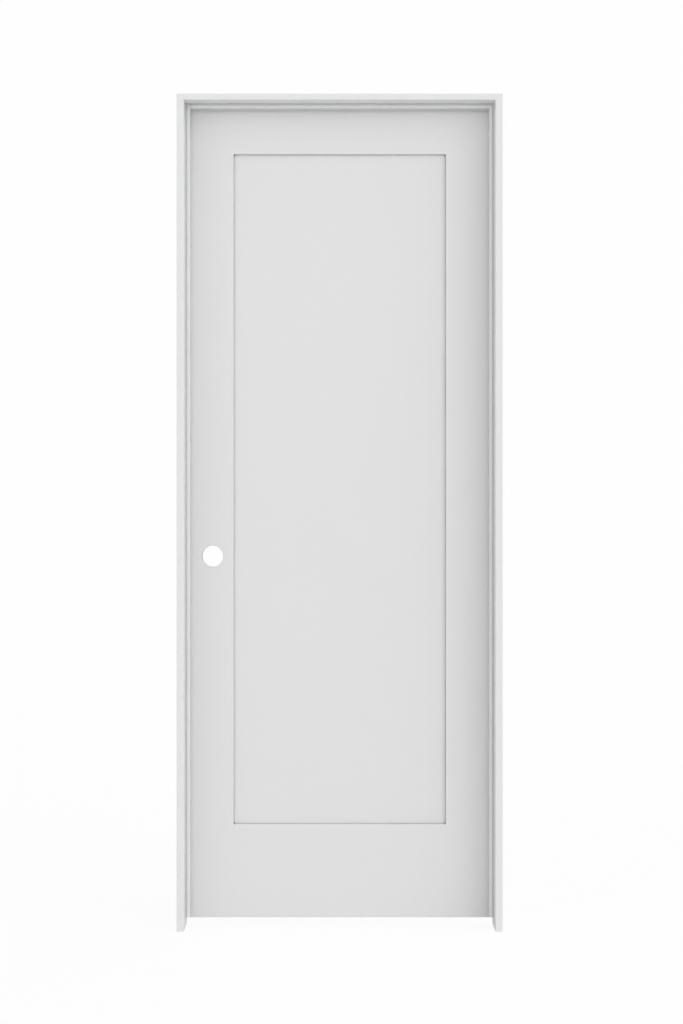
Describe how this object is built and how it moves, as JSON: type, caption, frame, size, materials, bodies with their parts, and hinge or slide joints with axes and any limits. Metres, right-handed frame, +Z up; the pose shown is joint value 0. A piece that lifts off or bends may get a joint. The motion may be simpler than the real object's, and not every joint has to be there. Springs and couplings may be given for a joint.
{
  "type": "shaker interior door",
  "caption": "Primed interior door with one flat recessed panel, hung on butt hinges in its jambs with stops, and bored for a lockset.",
  "frame": {"origin": "centre line of the hinge jamb's outer face, at its foot", "axes": "+X out of the hinge jamb's outer face, +Y through the wall towards the hinge barrels, +Z up"},
  "size_m": [0.8075, 0.1379, 2.075],
  "materials": {
    "leaf_primer": "white primer, eggshell",
    "panel_primer": "white primer, eggshell",
    "jamb_primer": "white primer, eggshell",
    "stop_primer": "white primer, eggshell",
    "hinge_steel": "satin",
    "pin_steel": "satin",
    "staple_steel": "galvanised",
    "screw_steel": "satin"
  },
  "bodies": {
    "frame": {"hinge_jamb": "jamb_primer", "strike_jamb": "jamb_primer", "head_jamb": "jamb_primer", "hinge_stop": "stop_primer", "strike_stop": "stop_primer", "head_stop": "stop_primer", "hinge_side_head_staples": "staple_steel", "strike_side_head_staples": "staple_steel", "top_hinge_jamb_leaf": "hinge_steel", "top_hinge_pin": "pin_steel", "top_hinge_jamb_screws": "screw_steel", "middle_hinge_jamb_leaf": "hinge_steel", "middle_hinge_pin": "pin_steel", "middle_hinge_jamb_screws": "screw_steel", "bottom_hinge_jamb_leaf": "hinge_steel", "bottom_hinge_pin": "pin_steel", "bottom_hinge_jamb_screws": "screw_steel"},
    "door": {"latch_stile": "leaf_primer", "hinge_stile": "leaf_primer", "top_rail": "leaf_primer", "bottom_rail": "leaf_primer", "panel": "panel_primer", "top_hinge_door_leaf": "hinge_steel", "top_hinge_door_screws": "screw_steel", "middle_hinge_door_leaf": "hinge_steel", "middle_hinge_door_screws": "screw_steel", "bottom_hinge_door_leaf": "hinge_steel", "bottom_hinge_door_screws": "screw_steel"}
  },
  "joints": [
    {"name": "door_swing", "type": "hinge", "parent": "frame", "child": "door", "pos_m": [-0.02, 0.0739, 1.0875], "axis": [0, 0, -1], "range_deg": [0, 180]}
  ]
}
